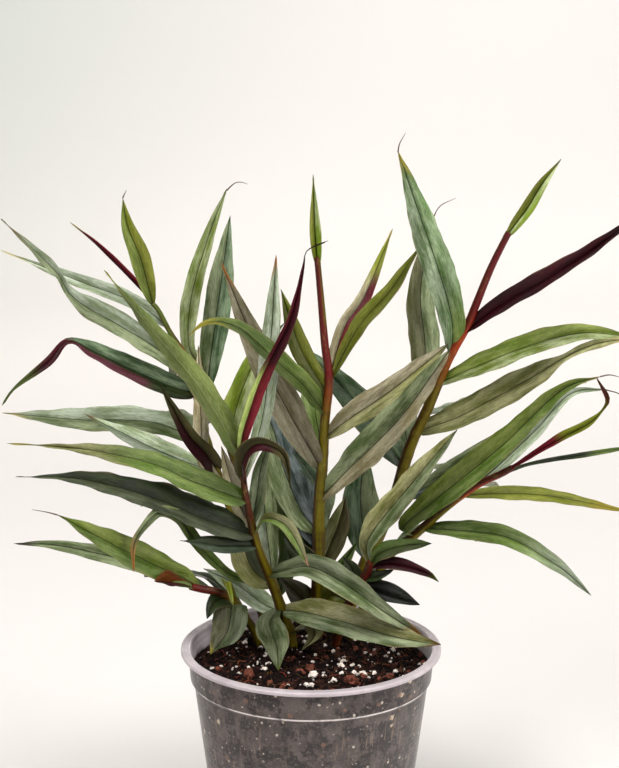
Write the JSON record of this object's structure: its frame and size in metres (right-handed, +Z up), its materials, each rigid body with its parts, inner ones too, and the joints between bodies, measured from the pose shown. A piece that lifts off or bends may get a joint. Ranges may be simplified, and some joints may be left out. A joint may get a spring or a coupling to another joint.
{
  "type": "ornamental ginger plant in a pot",
  "caption": "Potted ornamental ginger with narrow green leaves, purple young leaves and reddish stalks, in a translucent plastic nursery pot filled with bark and perlite mix.",
  "frame": {"origin": "centre of the pot's underside, which is the plane that it stands on", "axes": "+Z up along the pot's axis, -Y towards the front that the leaves lean to, +X to the right seen from the front"},
  "size_m": [0.3262, 0.2133, 0.3641],
  "materials": {
    "pot_plastic": "frosted, translucent grey polypropylene",
    "growing_mix": "damp dark mix with bark, clay grains and white perlite",
    "green_growth": "soft satin leaves, green and grey-green, on olive to red stalks",
    "young_purple": "satin dark purple young leaves"
  },
  "bodies": {
    "root": {"pot": "pot_plastic", "growing_mix": "growing_mix", "leafy_stem_front_left": "green_growth", "leafy_stem_middle": "green_growth", "leafy_stem_right": "green_growth", "leafy_stem_low_right": "green_growth", "leafy_stem_low_left": "green_growth", "leafy_stem_back_left": "green_growth", "leafy_stem_back": "green_growth", "leafy_stem_short": "green_growth", "young_leaf_front_left_top": "young_purple", "young_leaf_front_left_side": "young_purple", "young_leaf_back_left_top": "young_purple", "young_leaf_back_left_side": "young_purple", "young_leaf_right": "young_purple", "young_leaf_low_right_top": "young_purple", "young_leaf_low_left_top": "young_purple", "young_leaf_short_stem": "young_purple"}
  },
  "joints": []
}
